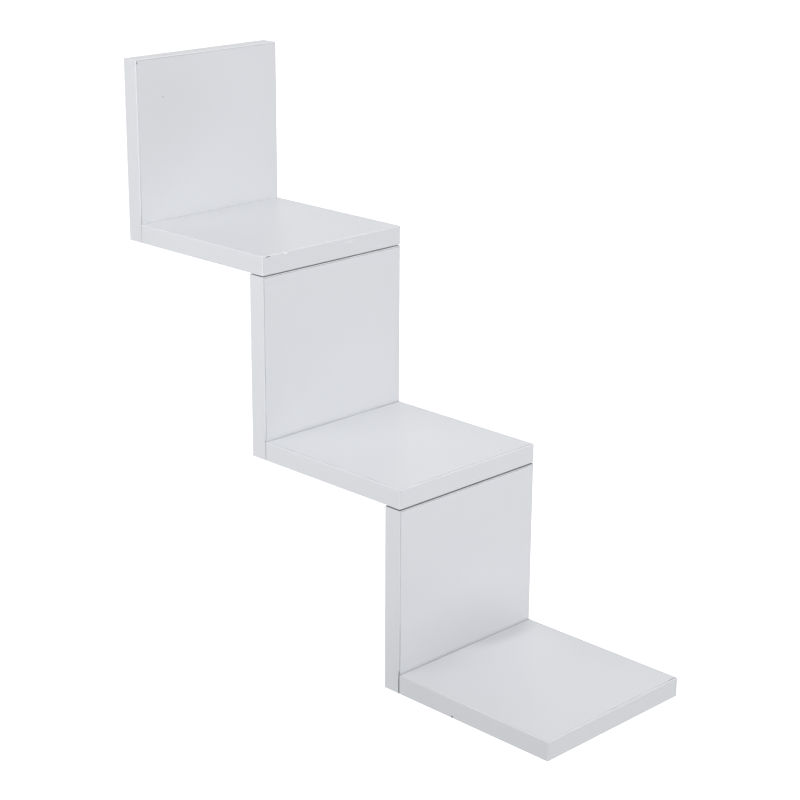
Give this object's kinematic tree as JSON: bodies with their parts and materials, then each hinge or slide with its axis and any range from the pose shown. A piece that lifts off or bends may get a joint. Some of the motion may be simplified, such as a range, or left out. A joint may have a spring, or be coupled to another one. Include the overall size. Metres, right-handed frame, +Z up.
{
  "type": "wall shelf",
  "caption": "Zigzag wall shelf: square white boards stepping down to the right, cam-locked at right angles, hung by keyhole plates in the back edges.",
  "frame": {"origin": "middle of the entry hole of the top upright's keyhole plate, in the plane of the wall", "axes": "+X right along the wall, the way the shelf steps down; +Y into the wall; +Z up"},
  "size_m": [0.5596, 0.18, 0.5416],
  "materials": {
    "laminate_board": "particleboard faced with satin white melamine laminate",
    "edge_band": "satin white edge band",
    "zinc_cam": "die-cast zinc, as cast",
    "plated_steel": "bright zinc-plated steel",
    "beech_dowel": "raw fluted beech"
  },
  "bodies": {
    "root": {"top_upright": "laminate_board", "middle_upright": "laminate_board", "lower_upright": "laminate_board", "upper_shelf": "laminate_board", "middle_shelf": "laminate_board", "lower_shelf": "laminate_board", "top_upright_front_band": "edge_band", "middle_upright_front_band": "edge_band", "lower_upright_front_band": "edge_band", "upper_shelf_front_band": "edge_band", "middle_shelf_front_band": "edge_band", "lower_shelf_front_band": "edge_band", "top_upright_back_band": "edge_band", "middle_upright_back_band": "edge_band", "lower_upright_back_band": "edge_band", "upper_shelf_back_band": "edge_band", "middle_shelf_back_band": "edge_band", "lower_shelf_back_band": "edge_band", "top_upright_head_band": "edge_band", "middle_upright_head_band": "edge_band", "lower_upright_head_band": "edge_band", "top_upright_foot_band": "edge_band", "middle_upright_foot_band": "edge_band", "lower_upright_foot_band": "edge_band", "upper_shelf_joint_band": "edge_band", "middle_shelf_joint_band": "edge_band", "lower_shelf_joint_band": "edge_band", "upper_shelf_end_band": "edge_band", "middle_shelf_end_band": "edge_band", "lower_shelf_end_band": "edge_band", "upper_shelf_cams": "zinc_cam", "middle_upright_cams": "zinc_cam", "middle_shelf_cams": "zinc_cam", "lower_upright_cams": "zinc_cam", "lower_shelf_cams": "zinc_cam", "upper_shelf_cam_bolts": "plated_steel", "middle_upright_cam_bolts": "plated_steel", "middle_shelf_cam_bolts": "plated_steel", "lower_upright_cam_bolts": "plated_steel", "lower_shelf_cam_bolts": "plated_steel", "upper_shelf_dowels": "beech_dowel", "middle_upright_dowels": "beech_dowel", "middle_shelf_dowels": "beech_dowel", "lower_upright_dowels": "beech_dowel", "lower_shelf_dowels": "beech_dowel", "top_hanger_plate": "plated_steel", "middle_hanger_plate": "plated_steel", "lower_hanger_plate": "plated_steel", "top_hanger_screws": "plated_steel", "middle_hanger_screws": "plated_steel", "lower_hanger_screws": "plated_steel"}
  },
  "joints": []
}
